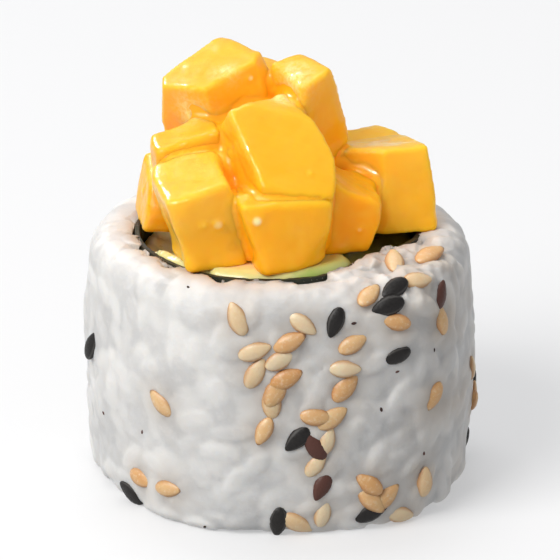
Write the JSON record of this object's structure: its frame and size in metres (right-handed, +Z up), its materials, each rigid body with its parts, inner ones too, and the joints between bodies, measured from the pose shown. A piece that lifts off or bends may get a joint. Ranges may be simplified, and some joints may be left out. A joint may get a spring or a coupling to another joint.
{
  "type": "sushi roll piece",
  "caption": "Short round piece of inside-out sushi roll: rice with sesame seeds outside, seaweed and avocado sticks within, diced mango heaped on top.",
  "frame": {"origin": "centre of the bounding box's underside, on the lower cut face", "axes": "+Z up along the roll's own axis; -Y towards the side that the picture shows; +X to that side's right"},
  "size_m": [0.042, 0.0428, 0.0448],
  "materials": {
    "rice": "moist cooked rice with toasted and black sesame seeds",
    "nori": "damp dark seaweed sheet",
    "avocado": "smooth ripe flesh, yellow to green",
    "mango": "wet, slightly translucent ripe flesh"
  },
  "bodies": {
    "root": {"rice": "rice", "nori": "nori", "avocado_front": "avocado", "avocado_left": "avocado", "avocado_right": "avocado", "avocado_back": "avocado", "mango_01": "mango", "mango_02": "mango", "mango_03": "mango", "mango_04": "mango", "mango_05": "mango", "mango_06": "mango", "mango_07": "mango", "mango_08": "mango", "mango_09": "mango", "mango_10": "mango", "mango_11": "mango", "mango_12": "mango", "mango_13": "mango", "mango_14": "mango", "mango_15": "mango"}
  },
  "joints": []
}
